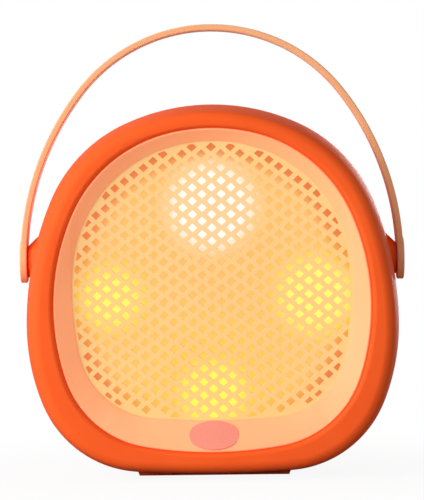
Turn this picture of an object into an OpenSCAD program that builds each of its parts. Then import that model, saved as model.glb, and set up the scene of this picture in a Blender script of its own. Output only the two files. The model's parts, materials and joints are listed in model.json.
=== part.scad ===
// Portable speaker with lights behind a diamond lattice and a carry strap on two side pivots.
// The origin is under the middle of the foot, +Z is up and the front faces -Y.
// Outlines are drawn flat with the front towards +Z, and stand() turns them upright.

/* [Housing] */
// Width of the housing
body_w = 149.6; // [125:0.2:180]
// Height of the housing without its foot
body_h = 148.1; // [135:0.1:180]
// Depth of the housing
body_d = 68; // [62:1:90]
// Height of the widest line above the housing's underside
widest_h = 60; // [55:0.5:75]
// Radius of the upper shoulders
shoulder_r = 59; // [50:1:66]
// Radius of the lower corners
corner_r = 44; // [35:1:48]
// Angle that the crown arc takes on each side
crown_sweep = 25; // [16:1:28]
// Angle that the flank arc takes above the widest line
upper_flank_sweep = 23; // [16:1:28]
// Angle that the flank arc takes below the widest line
lower_flank_sweep = 22; // [12:1:24]
// Angle that the underside arc takes on each side
base_sweep = 4; // [3:0.5:8]
// Radius of the bulge from front to rear
side_r = 150; // [120:5:250]
// Radius of the front edge
front_edge_r = 4.3; // [3.5:0.1:4.5]
// Radius of the rear edge
rear_edge_r = 12; // [8:1:16]
// Wall of both shells
wall = 2.5; // [1.8:0.1:3.5]
// Distance of the seam behind the middle of the depth
seam_back = 12; // [9:1:14]
// Thickness of the seal in the seam
gasket_t = 0.6; // [0.4:0.1:1]

/* [Front opening] */
// Width of the orange ring at the sides
ring_side = 12.1; // [11:0.1:16]
// Width of the orange ring at the top
ring_top = 9.5; // [9.4:0.1:14]
// Width of the orange ring at the bottom
ring_bottom = 10.8; // [10:0.1:16]
// Height of the opening's widest line above the housing's underside
opening_widest_h = 68.5; // [62:0.5:80]
// Radius of the opening's shoulders
opening_shoulder_r = 56; // [46:1:60]
// Radius of the opening's lower corners
opening_corner_r = 40; // [32:1:44]
// Radius of the lip that rolls into the opening
lip_r = 2; // [1.5:0.1:2]
// Depth of the seat that the bezel rests on
seat_depth = 7; // [6:0.5:9]
// Width of the seat
seat_w = 2.2; // [1.6:0.1:2.4]

/* [Bezel and grille] */
// Width of the bezel at the sides
bezel_side = 7.3; // [6.5:0.1:10]
// Width of the bezel at the top
bezel_top = 5.1; // [5:0.1:8]
// Width of the bezel at the bottom
bezel_bottom = 12.5; // [11:0.1:15]
// Gap between the bezel and the ring
bezel_gap = 0.2; // [0.15:0.05:0.6]
// Drop from the ring's crest to the bezel's rim
rim_drop = 1.4; // [0.8:0.1:2.5]
// Rounding of the bezel's outer rim
rim_round = 0.6; // [0.3:0.1:0.8]
// Rounding of the bezel's inner edge
edge_round = 0.6; // [0.3:0.1:0.8]
// Thickness of the bezel's inner edge
bezel_edge = 1.2; // [0.8:0.1:2]
// Wall of the bezel's rear skirt
skirt_t = 1.2; // [0.8:0.1:1.4]
// Height of the window's widest line above the housing's underside
window_widest_h = 74.5; // [66:0.5:82]
// Radius of the window's shoulders
window_shoulder_r = 54; // [44:1:58]
// Radius of the window's lower corners
window_corner_r = 32; // [28:1:40]
// Overlap of the grille behind the bezel
grille_overlap = 1; // [0.6:0.1:1.2]
// Thickness of the grille
grille_t = 2; // [1.4:0.1:3]
// Solid rim inside the window
grille_rim = 0.8; // [0.5:0.1:2]
// Height of the lattice's middle hole above the housing's underside
lattice_h = 72.7; // [68:0.1:78]
// Spacing of the holes along a row
pitch_x = 7.6; // [6.5:0.1:9]
// Spacing of the holes along a column
pitch_z = 5.3; // [4.6:0.1:6.5]
// Width of a diamond hole
hole_w = 4.1; // [3:0.1:4.6]
// Height of a diamond hole
hole_h = 3.8; // [2.8:0.1:4]
// Width of the oval badge
badge_w = 19.6; // [14:0.2:24]
// Height of the oval badge
badge_h = 12; // [8:0.2:12]
// Thickness of the badge
badge_t = 0.8; // [0.6:0.1:1.6]

/* [Carry strap] */
// Height of the strap's top above the crown
strap_rise = 32; // [28:0.5:50]
// Width of the strap
strap_w = 14; // [10:0.5:16]
// Thickness of the strap
strap_t = 2.5; // [2.4:0.1:4]
// Radius of the strap's crown
strap_crown_r = 67.5; // [60:0.5:70]
// Rounding of the strap's edges
strap_edge_r = 1.1; // [0.4:0.1:1.2]
// Radius of the strap's round end pads
pad_r = 8.6; // [8.2:0.1:10]
// How far a pad stands out of the strap
pad_proud = 0.25; // [0.2:0.05:0.6]
// Clearance between the pads and the housing
strap_gap = 0.55; // [0.5:0.05:3]
// Height of the pivot above the housing's underside
pivot_h = 85.7; // [80:0.1:96]
// Radius of the pivot pins
pin_r = 2.5; // [2:0.1:3.5]
// Radius of the pins' flush heads
pin_head_r = 4.4; // [4:0.1:6]
// Thickness of the pins' flush heads
pin_head_t = 1.2; // [0.8:0.1:1.6]
// Running clearance round the pins
pin_play = 0.06; // [0.03:0.01:0.1]
// Radius of the side bosses where they meet the strap
boss_r = 6.2; // [5:0.1:8]
// Height of the flare that joins a side boss to the housing
boss_flare = 4.6; // [3:0.1:6]

/* [Foot] */
// Width of the foot
foot_w = 63; // [50:1:70]
// Depth of the foot
foot_d = 18; // [16:0.5:24]
// Height of the housing's lowest line above the ground
foot_proud = 0.4; // [0.4:0.1:2]

/* [Lights and driver] */
// Distance from the ring's crest to the driver's mounting face
front_cavity = 26; // [24:1:32]
// Thickness of the mounting wall
baffle_t = 3; // [2:0.5:4]
// Height of the driver's axis above the housing's underside
driver_h = 70.5; // [64:0.5:78]
// Outer diameter of the driver
driver_d = 62; // [54:1:64]
// Distance of the side lights from the driver's axis
light_x = 40; // [37:0.5:42]
// Distance of the upper and lower lights from the driver's axis
light_z = 37; // [36:0.5:42]

/* [Rear controls] */
// Height of the buttons above the housing's underside
button_h = 112.5; // [108:0.5:118]
// Spacing of the buttons
button_pitch = 18; // [16:0.5:20]
// Diameter of a button
button_d = 11; // [8:0.5:12]
// Travel of a button
button_travel = 0.8; // [0.4:0.1:1]
// Clearance round a button
button_play = 0.2; // [0.1:0.05:0.4]

/* [Hidden] */
$fn = 96;
eps = 0.01;

// Colours
orange = "#fe672c";
dark_orange = "#c8481f";
peach = "#fdb683";
pale_peach = "#fdcf94";
pink = "#fb9680";
strap_colour = "#f8bb8a";
milk = "#fff2d2";
steel = "#b9bcc0";
dark = "#2c2c30";
board_green = "#2f6b46";

// Levels from the middle of the depth, with the front positive
half_w = body_w / 2;
half_d = body_d / 2;
seam = -seam_back;
crest = half_d;
seat = crest - seat_depth;
bezel_rim = crest - rim_drop;
window_face = seat + bezel_edge;
grille_back = seat - grille_t;
rib_h = 1.6;
diffuser_t = 1.2;
diffuser_back = grille_back - rib_h - diffuser_t;
mount_face = crest - front_cavity;
baffle_back = mount_face - baffle_t;
rear_face = -half_d;
rear_inner = rear_face + wall;

// Heights above the ground
top = foot_proud + body_h;
pivot = foot_proud + pivot_h;
driver_axis = foot_proud + driver_h;
button_row = foot_proud + button_h;

// Outlines of the housing, its front opening and the grille's window
body = outline(half_w, top, foot_proud + widest_h, foot_proud,
    [shoulder_r, crown_sweep, upper_flank_sweep], [corner_r, base_sweep, lower_flank_sweep]);
opening_w = half_w - ring_side;
opening_top = top - ring_top;
opening_bottom = foot_proud + ring_bottom;
opening = outline(opening_w, opening_top, foot_proud + opening_widest_h, opening_bottom,
    [opening_shoulder_r, 13, 24], [opening_corner_r, 10, 18]);
window_bottom = opening_bottom + bezel_bottom;
window = outline(opening_w - bezel_side, opening_top - bezel_top, foot_proud + window_widest_h,
    window_bottom, [window_shoulder_r, 13, 5], [window_corner_r, 5, 12]);
bezel_outer = grow(opening, -bezel_gap);
slope_head = [grow(bezel_outer, -rim_round), bezel_rim];
slope_foot = [grow(window, edge_round), window_face + edge_round / 2];
grille_edge = grow(window, grille_overlap);
diamond_corners = [[hole_w / 2, 0], [0, hole_h / 2], [-hole_w / 2, 0], [0, -hole_h / 2]];
columns = ceil(opening_w / pitch_x);
rows = ceil(body_h / 2 / pitch_z);
holes = [for (i = [-columns:columns], j = [-rows:rows], shift = [0, 0.5])
    [(i + shift) * pitch_x, foot_proud + lattice_h + (j + shift) * pitch_z]];
fit_gap = 0.1;
far_inside = 10;
joint_step = 0.02;
joint_turn = 0.5;
$shrink = 0;
arc_steps = 8;
front_levels = between(seam, edge_start(front_edge_r, 0), 6);
flange_w = 2;
tongue_t = 1.3;
tongue_l = 3;
tongue_root = 7;
gasket_inset = 0.5;

// Screw posts
post_r = 4.2;
post_inset = 13;
post_end = rear_inner - 0.5;
screw_r = 1.45;
screw_seat = seam - 10;
screw_tip = baffle_back - 2;
head_r = 3;
head_h = 2;
screw_play = 0.3;
bore_play = 0.2;
lower_posts = [for (i = [1, 2, 8, 9]) on_arc(body[i], middle(body[i]), post_inset)];
upper_post_angle = 60;
upper_post = on_arc(body[4], upper_post_angle, post_inset);
posts = concat(lower_posts, [for (side = [-1, 1]) [side * upper_post.x, upper_post.y]]);

// Strap outline, solved so that its flanks meet its crown and stand upright at the pivot
pad_step = 0.1;
pad_back = side_at(pivot - pad_r) + strap_gap;
strap_half = pad_back + pad_step + strap_t;
pad_face = strap_half + pad_proud;
strap_centre = top + strap_rise - strap_crown_r;
strap_lift = strap_centre - pivot;
strap_flank_r = (strap_half * strap_half + strap_lift * strap_lift - strap_crown_r * strap_crown_r)
    / (2 * (strap_half - strap_crown_r));
strap_turn = asin(strap_lift / (strap_flank_r - strap_crown_r));
strap = [
    [strap_half - strap_flank_r, pivot, strap_flank_r, 0, strap_turn],
    [0, strap_centre, strap_crown_r, strap_turn, 180 - strap_turn],
    [strap_flank_r - strap_half, pivot, strap_flank_r, 180 - strap_turn, 180]
];
side_play = 0.3;
boss_face = pad_back - side_play;
boss_reach = 4;
boss_inner = side_at(pivot) - wall - boss_reach;
clip_t = 0.7;
clip_r = 4;
pin_groove = 0.6;
pin_neck_r = pin_r - pin_groove;
clip_mouth = 1.6 * pin_neck_r;
pin_tail = 1.4;
clip_face = boss_inner - side_play;
pin_end = clip_face - clip_t - pin_tail;

// Loudspeaker driver, with sizes along its axis from the mounting face
driver_r = driver_d / 2;
flange_t = 1.5;
roll_r = 2.3;
roll_t = 0.5;
basket_hole_r = driver_r - 2.5;
basket_wall = 1.2;
basket_floor = 1.5;
basket_depth = 15.5;
hole_play = 0.5;
plate_r = 16;
coil_r = 7.1;
coil_t = 0.5;
coil_gap = 0.4;
pole_r = coil_r - coil_t - coil_gap;
magnet_r = 20;
magnet_depth = 12.5;
spider_depth = 12;
spider_t = 0.5;
driver_screw_ring = driver_r - 1.6;
driver_screw_r = 0.9;
driver_head_r = 1.5;
driver_head_h = 1.2;
roll_gap = 0.25;
roll_mid = driver_screw_ring - driver_head_r - roll_gap - roll_r;
cone_r = roll_mid - roll_r + roll_t;
chip_size = 5;
chip_h = 1.6;
light_board_t = 1.6;
light_board_inner = driver_r + 2;
light_board_outer = light_x + 5;

// Battery
cell_r = 9.2;
cell_l = 65;
cell_h = 24;
cradle_base = 2;
cell_play = 0.15;
cell_level = baffle_back - cradle_base - cell_r - cell_play;

// Rear control board
button_r = button_d / 2;
button_proud = 1.2;
flange_play = 0.3;
button_flange_t = 1.2;
button_flange_r = button_r + 1.3;
plunger_r = 1.6;
plunger_l = 1.1;
stem_play = 0.1;
stem_r = 1.7;
stem_root = 1.2;
stem_out = button_travel + stem_play;
switch_size = 6;
switch_h = 3.6;
board_h = 26;
board_t = 1.6;
board_edge = 4;
standoff_r = 3;
standoff_gap = 0.4;
board_w = 3 * button_pitch + 2 * (button_flange_r + standoff_gap + standoff_r + board_edge);
board_screw_r = 1.1;
board_head_r = 2.2;
board_head_h = 1.4;
board_grip = 4;
flange_level = rear_inner + flange_play;
plunger_level = flange_level + button_flange_t;
stem_level = plunger_level + plunger_l + stem_play;
board_back = stem_level + stem_out + switch_h;
board_front = board_back + board_t;
board_centre = button_row - 8;
socket_w = 8.9;
socket_h = 3.2;
socket_row = button_row - 10;
socket_play = 0.3;
standoffs = [for (x = [-1, 1], y = [-1, 1])
    [x * (board_w / 2 - board_edge), board_centre + y * (board_h / 2 - board_edge)]];

// Crown and flank radii that join a quarter outline through its corner arc.
// q holds the corner radius, the crown's sweep and the flank's sweep.
function quarter(w, h, q) =
    let (sc = sin(q[1]), cc = cos(q[1]), sf = sin(q[2]), cf = cos(q[2]))
    let (a = w + q[0] * (sc - cf), b = h - q[0] * (cc - sf))
    let (det = sc * sf - (1 - cf) * (1 - cc))
    [(a * sf - (1 - cf) * b) / det, (sc * b - (1 - cc) * a) / det];

// Closed outline of ten tangent arcs, each [x, y, radius, first angle, last angle]
function outline(w, top, widest, bottom, upper, lower) =
    let (u = quarter(w, top - widest, upper), l = quarter(w, widest - bottom, lower))
    let (crown = [0, top - u[0]], base = [0, bottom + l[0]])
    let (shoulder = crown + (u[0] - upper[0]) * [sin(upper[1]), cos(upper[1])])
    let (corner = base + (l[0] - lower[0]) * [sin(lower[1]), -cos(lower[1])])
    let (right = [
        [corner.x, corner.y, lower[0], lower[1] - 90, -lower[2]],
        [w - l[1], widest, l[1], -lower[2], 0],
        [w - u[1], widest, u[1], 0, upper[2]],
        [shoulder.x, shoulder.y, upper[0], upper[2], 90 - upper[1]]
    ])
    let (left = [for (i = [3:-1:0]) mirrored(right[i])])
    concat([[0, base.y, l[0], -90 - lower[1], lower[1] - 90]], right,
        [[0, crown.y, u[0], 90 - upper[1], 90 + upper[1]]], left);

// Room between a point and the outline, positive inside
function room(o, p) =
    min([for (a = o) faces(a, p) ? a[2] - norm(p - [a.x, a.y]) : far_inside]);
function faces(a, p) =
    let (turn = atan2(p.y - a.y, p.x - a.x) - middle(a))
    abs(turn - 360 * round(turn / 360)) <= (a[4] - a[3]) / 2;
function corners_inside(o, p) = len([for (c = diamond_corners) if (room(o, p + c) > 0) c]);
function is_cut(o, p) = corners_inside(o, p) < 4 && room(o, p) > 0;
function mirrored(a) = [-a.x, a.y, a[2], 180 - a[4], 180 - a[3]];
function grow(o, d) = [for (a = o) [a.x, a.y, a[2] + d, a[3], a[4]]];
function middle(a) = (a[3] + a[4]) / 2;
function on_arc(a, angle, inset) = [a.x, a.y] + (a[2] - inset) * [cos(angle), sin(angle)];
// Half width of the housing at a height on its upper flank
function side_at(h) = body[3].x + sqrt(pow(body[3][2], 2) - pow(h - body[3].y, 2));
// How far the bulged side, thinned by d, has drawn in at a level
function lean(v, d = 0) = side_r - sqrt(pow(side_r - d, 2) - v * v);
// Centre of an edge arc that meets the bulged side and the flat face
function edge_centre(r) = [sqrt(pow(side_r - r, 2) - pow(half_d - r, 2)) - side_r, half_d - r];
function edge_angle(r) = asin((half_d - r) / (side_r - r));
function edge_start(r, d) = edge_centre(r).y + (r - d) * sin(edge_angle(r));
function between(from, to, steps) = [for (k = [0:steps - 1]) from + (to - from) * k / steps];
// Rings of [outline, level] up the bulged side, round the front or rear edge and round the lip
function side_rings(levels, d = 0) = [for (v = levels) [grow(body, -lean(v, d)), v]];
function edge_rings(r, d, angles, facing) = [for (t = angles)
    [grow(body, edge_centre(r).x + (r - d) * cos(t)), facing * (edge_centre(r).y + (r - d) * sin(t))]];
function lip_rings(angles) = [for (t = angles)
    [grow(opening, lip_r + lip_r * cos(t)), crest - lip_r + lip_r * sin(t)]];
function ring_points(o) = [for (a = o, k = [0:arc_steps - 1])
    on_arc(a, a[3] + (a[4] - a[3]) * k / arc_steps, 0)];
// Two triangles between neighbouring points of ring a and ring b, split along the shorter diagonal
function panel(points, a, b, i, j) =
    norm(points[a + i] - points[b + j]) < norm(points[a + j] - points[b + i])
        ? [[a + i, b + i, b + j], [a + i, b + j, a + j]]
        : [[a + i, b + i, a + j], [b + i, b + j, a + j]];
function backwards(list) = [for (i = [len(list) - 1:-1:0]) list[i]];

module stand() {
    rotate([90, 0, 0]) children();
}

module slice(from, to) {
    translate([0, 0, from]) linear_extrude(to - from) children();
}

module pie(r, from, to) {
    intersection() {
        circle(r);
        polygon([[0, 0], for (t = [from, (from + to) / 2, to]) 2 * r * [cos(t), sin(t)]]);
    }
}

module filled(o) {
    polygon(ring_points(o));
}

module hoop(outer, inner) {
    difference() {
        filled(outer);
        filled(inner);
    }
}

// Every second arc is a hair thinner and runs a little into its neighbours
module sweep(o) {
    for (i = [0:len(o) - 1]) {
        a = o[i];
        odd = i % 2;
        $shrink = odd * joint_step;
        translate([a.x, a.y, 0]) rotate([0, 0, a[3] - odd * joint_turn])
            rotate_extrude(angle = a[4] - a[3] + 2 * odd * joint_turn) translate([a[2], 0]) children();
    }
}

module block(x, y) {
    translate([x[0], y[0]]) square([x[1] - x[0], y[1] - y[0]]);
}

module rounded(w, h, r) {
    square([w, h - 2 * r], center = true);
    square([w - 2 * r, h], center = true);
    for (sx = [0, 1], sy = [0, 1])
        mirror([sx, 0]) mirror([0, sy]) translate([w / 2 - r, h / 2 - r]) pie(r, 0, 90);
}

// Skin over a stack of rings, which ends in flat caps or runs back into its first ring
module loft(rings, closed = false) {
    count = len(rings);
    around = arc_steps * len(body);
    walls = closed ? count : count - 1;
    points = [for (ring = rings, p = ring_points(ring[0])) [p.x, p.y, ring[1]]];
    sides = [for (k = [0:walls - 1], i = [0:around - 1])
        each panel(points, k * around, (k + 1) % count * around, i, (i + 1) % around)];
    first_cap = [for (i = [0:around - 1]) i];
    last_cap = [for (i = first_cap) count * around - 1 - i];
    polyhedron(points, closed ? sides : concat(sides, [first_cap, last_cap]));
}

module along_x(x, y, v) {
    translate([x, y, v]) rotate([0, 90, 0]) children();
}

module pivot_bores(r) {
    along_x(-body_w, pivot, 0) cylinder(h = 2 * body_w, r = r);
}

module front_ring() {
    turn = edge_angle(front_edge_r);
    seat_back = seat - wall;
    loft(concat(
        side_rings(front_levels),
        edge_rings(front_edge_r, 0, [for (k = [0:6]) turn + (90 - turn) * k / 6], 1),
        lip_rings([for (k = [0:5]) 90 + 18 * k]),
        [
            [opening, seat],
            [grow(opening, -seat_w), seat],
            [grow(opening, -seat_w), seat_back],
            [grow(opening, flange_w), seat_back],
            [grow(opening, flange_w), crest - wall]
        ],
        edge_rings(front_edge_r, wall, [for (k = [0:3]) 90 - (90 - turn) * k / 3], 1),
        backwards(side_rings(between(seam, edge_start(front_edge_r, wall), 5), wall))
    ), true);
}

// A sleeve through the wall for a pivot pin, with a flare outside
module side_boss() {
    along_x(boss_inner, pivot, 0) cylinder(h = boss_face - boss_flare / 2 - boss_inner, r = boss_r);
    difference() {
        along_x(boss_face - boss_flare, pivot, 0)
            cylinder(h = boss_flare, r1 = boss_r + boss_flare, r2 = boss_r);
        loft(side_rings([seam, -seam], wall / 2));
    }
}

module front_shell() {
    color(orange) stand() difference() {
        union() {
            front_ring();
            slice(baffle_back, mount_face) filled(grow(body, -wall / 2));
            for (p = posts) translate([p.x, p.y, seam]) cylinder(h = baffle_back - seam + 1, r = post_r);
            for (side = [0, 1]) mirror([side, 0, 0]) side_boss();
        }
        pivot_bores(pin_r + pin_play);
        translate([0, driver_axis, baffle_back - 1]) cylinder(h = baffle_t + 2, r = basket_hole_r);
        for (p = posts) translate([p.x, p.y, seam - 1]) cylinder(h = screw_tip - seam + 1, r = screw_r);
    }
}

module rear_bowl() {
    turn = edge_angle(rear_edge_r);
    tongue = wall + lean(seam) + fit_gap;
    rim = seam - gasket_t;
    root = seam - tongue_root;
    loft(concat(
        edge_rings(rear_edge_r, 0, [for (k = [0:6]) 90 - (90 - turn) * k / 6], -1),
        backwards(side_rings(between(rim, -edge_start(rear_edge_r, 0), 3))),
        [
            [grow(body, -tongue), rim],
            [grow(body, -tongue), seam + tongue_l],
            [grow(body, -tongue - tongue_t), seam + tongue_l],
            [grow(body, -tongue - tongue_t), root]
        ],
        side_rings(between(root, -edge_start(rear_edge_r, wall), 2), wall),
        edge_rings(rear_edge_r, wall, [for (k = [0:5]) turn + (90 - turn) * k / 5], -1)
    ));
}

module rear_shell() {
    color(orange) stand() difference() {
        union() {
            rear_bowl();
            for (p = posts) translate([p.x, p.y, post_end])
                cylinder(h = seam - gasket_t - post_end, r = post_r);
            for (p = standoffs) translate([p.x, p.y, post_end])
                cylinder(h = board_back - post_end, r = standoff_r);
        }
        for (p = posts) translate([p.x, p.y, rear_face - 1]) {
            cylinder(h = body_d, r = screw_r + screw_play);
            cylinder(h = screw_seat - rear_face + 1, r = head_r + screw_play);
        }
        for (p = standoffs) translate([p.x, p.y, board_back - board_grip - 1])
            cylinder(h = board_grip + 2, r = board_screw_r);
        for (i = [0:3]) translate([button_x(i), button_row, rear_face - 1])
            cylinder(h = wall + 2, r = button_r + button_play);
        translate([0, socket_row, 0]) slice(rear_face - 1, rear_inner + 1)
            rounded(socket_w + 2 * socket_play, socket_h + 2 * socket_play, socket_h / 2);
    }
}

module seam_gasket() {
    color(dark) stand() slice(seam - gasket_t, seam)
        hoop(grow(body, -lean(seam) - gasket_inset), grow(body, fit_gap - lean(seam) - wall));
}

module shell_screws() {
    color(steel) stand() for (p = posts) translate([p.x, p.y, 0]) {
        translate([0, 0, screw_seat - head_h]) cylinder(h = head_h, r = head_r);
        translate([0, 0, screw_seat]) cylinder(h = screw_tip - screw_seat - 0.5, r = screw_r);
    }
}

module bezel() {
    skirt_inner = grow(grille_edge, fit_gap);
    skirt_outer = grow(skirt_inner, skirt_t);
    color(peach) stand() loft(concat(
        [[bezel_outer, seat]],
        [for (t = [0, 30, 60])
            [grow(bezel_outer, rim_round * (cos(t) - 1)), bezel_rim + rim_round * (sin(t) - 1)]],
        [
            slope_head, slope_foot,
            [grow(window, edge_round / 4), window_face],
            [window, window_face - edge_round / 2],
            [window, seat], [skirt_inner, seat], [skirt_inner, diffuser_back],
            [skirt_outer, diffuser_back], [skirt_outer, seat]
        ]
    ), true);
}

module diamond() {
    polygon(diamond_corners);
}

module grille() {
    limit = grow(window, -grille_rim);
    rib_back = grille_back - rib_h;
    color(pale_peach) stand() difference() {
        slice(rib_back, seat) filled(grille_edge);
        slice(rib_back - 1, grille_back) filled(grow(grille_edge, -rib_h));
        slice(grille_back - 1, seat + 1)
            for (p = holes) if (corners_inside(limit, p) == 4) translate(p) diamond();
        slice(grille_back - 1, seat + 1) intersection() {
            filled(limit);
            for (p = holes) if (is_cut(limit, p)) translate(p) diamond();
        }
    }
}

module badge() {
    run = bezel_bottom - bezel_gap - rim_round;
    slope = atan((bezel_rim - window_face) / run);
    oval = outline(badge_w / 2, badge_h / 2, 0, -badge_h / 2, [4.5, 30, 30], [4.5, 30, 30]);
    color(pink) stand() difference() {
        translate([0, opening_bottom + bezel_gap + rim_round + run / 2, (bezel_rim + window_face) / 2])
            rotate([-slope, 0, 0]) slice(-badge_t, badge_t) filled(oval);
        loft([
            [bezel_outer, seat], [bezel_outer, bezel_rim], slope_head,
            slope_foot, [window, slope_foot[1]], [window, seat]
        ], true);
    }
}

module light_diffuser() {
    color(milk) stand() slice(diffuser_back, diffuser_back + diffuser_t) filled(grille_edge);
}

module led_board() {
    color("white") stand() translate([0, driver_axis, 0]) slice(mount_face, mount_face + light_board_t)
        difference() {
            circle(light_board_outer);
            circle(light_board_inner);
        }
}

module led_chips() {
    places = [[light_x, 0], [0, light_z], [-light_x, 0], [0, -light_z]];
    color(milk) stand() for (p = places) translate([p.x, driver_axis + p.y, 0])
        slice(mount_face + light_board_t, mount_face + light_board_t + chip_h)
            square(chip_size, center = true);
}

module driver_place() {
    stand() translate([0, driver_axis, mount_face]) children();
}

module driver_basket() {
    mouth = basket_hole_r - hole_play;
    throat = -0.5;
    neck = 1;
    floor_level = basket_floor - basket_depth;
    floor_r = plate_r - basket_wall;
    ledge_back = -spider_depth - 1;
    ledge_edge = plate_r - 2.5;
    window_w = 12;
    window_h = 7;
    window_rise = 5;
    function ledge_r(level) = floor_r
        + (mouth - plate_r) * (level - floor_level) / (throat - floor_level);
    color(dark) driver_place() difference() {
        rotate_extrude() polygon([
            [mouth - basket_wall, flange_t], [driver_r, flange_t], [driver_r, 0], [mouth, 0],
            [mouth, -neck], [plate_r, -basket_depth], [coil_r + neck, -basket_depth],
            [coil_r + neck, floor_level], [floor_r, floor_level], [ledge_r(ledge_back), ledge_back],
            [ledge_edge, ledge_back], [ledge_edge, -spider_depth],
            [ledge_r(-spider_depth), -spider_depth], [mouth - basket_wall, throat]
        ]);
        for (i = [0:3]) rotate([0, 0, 45 + 90 * i])
            translate([0, 0, window_rise - basket_depth]) linear_extrude(window_h)
                block([plate_r, driver_r], [-window_w / 2, window_w / 2]);
        for (i = [0:3]) rotate([0, 0, 90 * i]) translate([driver_screw_ring, 0, -1])
            cylinder(h = flange_t + 2, r = driver_screw_r + bore_play);
    }
}

module driver_magnet() {
    front = -basket_depth;
    back = front - magnet_depth;
    plate = 2.5;
    step = 2;
    color(steel) driver_place() rotate_extrude() {
        block([coil_r + coil_gap, magnet_r - step], [front - plate, front]);
        block([coil_r + coil_gap + step, magnet_r], [back + plate, front - plate]);
        block([0, magnet_r - step], [back, back + plate]);
        block([0, pole_r], [back, front]);
    }
}

module driver_cone() {
    neck = -8;
    skin = 0.7;
    cap_r = 8.5;
    cap_t = 0.6;
    dome_r = 10;
    cap_level = neck + skin + (cap_r - coil_r) * (flange_t - neck - skin) / (cone_r - coil_r);
    dome_centre = cap_level - sqrt(dome_r * dome_r - cap_r * cap_r);
    color("#4a3428") driver_place() rotate_extrude() {
        polygon([
            [coil_r, neck], [cone_r, flange_t - skin], [cone_r, flange_t],
            [cone_r - 1, flange_t], [coil_r, neck + skin]
        ]);
        intersection() {
            translate([0, dome_centre]) difference() {
                circle(dome_r);
                circle(dome_r - cap_t);
            }
            block([0, cap_r], [cap_level - cap_t, dome_r]);
        }
    }
}

module driver_coil() {
    coil_top = -7;
    coil_reach = 6;
    color("#b56a32") driver_place() rotate_extrude()
        block([coil_r - coil_t, coil_r], [-basket_depth - coil_reach, coil_top]);
}

module driver_surround() {
    color(dark) driver_place() rotate_extrude() intersection() {
        translate([roll_mid, flange_t]) difference() {
            circle(roll_r);
            circle(roll_r - roll_t);
        }
        block([0, driver_r], [flange_t, flange_t + roll_r + 1]);
    }
}

module driver_spider() {
    color("#c9a24a") driver_place() rotate_extrude()
        block([coil_r, plate_r - 1], [-spider_depth, spider_t - spider_depth]);
}

module driver_screws() {
    color(steel) driver_place() for (i = [0:3]) rotate([0, 0, 90 * i])
        translate([driver_screw_ring, 0, 0]) {
            translate([0, 0, flange_t]) cylinder(h = driver_head_h, r = driver_head_r);
            cylinder(h = flange_t, r = driver_screw_r);
        }
}

module battery_cell() {
    color("#3f7fb5") stand() along_x(-cell_l / 2, cell_h, cell_level) cylinder(h = cell_l, r = cell_r);
}

module battery_cradle() {
    end_wall = 1.8;
    side_wall = 1.6;
    wrap = 3;
    half_l = cell_l / 2 + cell_play + end_wall;
    half_h = cell_r + cell_play + side_wall;
    color(dark) stand() difference() {
        slice(cell_level - wrap, baffle_back) translate([0, cell_h])
            square([2 * half_l, 2 * half_h], center = true);
        along_x(-cell_l / 2 - cell_play, cell_h, cell_level)
            cylinder(h = cell_l + 2 * cell_play, r = cell_r + cell_play);
    }
}

module main_board() {
    color(board_green) stand() difference() {
        slice(board_back, board_front) translate([0, board_centre])
            square([board_w, board_h], center = true);
        for (p = standoffs) translate([p.x, p.y, board_back - 1])
            cylinder(h = board_t + 2, r = board_screw_r + bore_play);
    }
}

module board_screws() {
    color(steel) stand() for (p = standoffs) translate([p.x, p.y, 0]) {
        translate([0, 0, board_front]) cylinder(h = board_head_h, r = board_head_r);
        translate([0, 0, board_back - board_grip]) cylinder(h = board_t + board_grip, r = board_screw_r);
    }
}

module usb_socket() {
    mouth = rear_face + 0.8;
    shell_t = 0.3;
    socket_depth = 6;
    tongue_w = 6.5;
    tongue_h = 0.7;
    color(steel) stand() translate([0, socket_row, 0]) difference() {
        slice(mouth, board_back) rounded(socket_w, socket_h, socket_h / 2 - eps);
        slice(mouth - 1, mouth + socket_depth) difference() {
            rounded(socket_w - 2 * shell_t, socket_h - 2 * shell_t, socket_h / 2 - shell_t - eps);
            square([tongue_w, tongue_h], center = true);
        }
    }
}

function button_x(i) = (i - 1.5) * button_pitch;

module switch_bodies() {
    color(dark) stand() for (i = [0:3]) translate([button_x(i), button_row, 0]) difference() {
        slice(board_back - switch_h, board_back) square(switch_size, center = true);
        translate([0, 0, board_back - switch_h - 1]) cylinder(h = switch_h, r = stem_r + stem_play);
    }
}

module rear_button(i) {
    face = rear_face - button_proud;
    round_r = 0.8;
    color(dark_orange) stand() translate([button_x(i), button_row, 0]) rotate_extrude() {
        translate([button_r - round_r, face + round_r]) pie(round_r, -90, 0);
        block([0, button_r - round_r], [face, face + round_r]);
        block([0, button_r], [face + round_r, flange_level]);
        block([0, button_flange_r], [flange_level, plunger_level]);
        block([0, plunger_r], [plunger_level, plunger_level + plunger_l]);
    }
}

module switch_stem(i) {
    color("white") stand() translate([button_x(i), button_row, stem_level])
        cylinder(h = stem_out + stem_root, r = stem_r);
}

module button_power() { rear_button(0); }
module button_minus() { rear_button(1); }
module button_plus() { rear_button(2); }
module button_light() { rear_button(3); }
module stem_power() { switch_stem(0); }
module stem_minus() { switch_stem(1); }
module stem_plus() { switch_stem(2); }
module stem_light() { switch_stem(3); }

module strap_section() {
    translate([-strap_t / 2, 0])
        rounded(strap_t - 2 * $shrink, strap_w - 2 * $shrink, strap_edge_r);
}

// Round pad at the end of the strap, which turns on its pin
module strap_pad() {
    along_x(pad_back, pivot, 0) rotate_extrude() {
        block([0, pad_r], [strap_edge_r, pad_face - pad_back - strap_edge_r]);
        block([0, pad_r - strap_edge_r], [0, pad_face - pad_back]);
        for (level = [strap_edge_r, pad_face - pad_back - strap_edge_r])
            translate([pad_r - strap_edge_r, level]) circle(strap_edge_r);
    }
}

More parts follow.
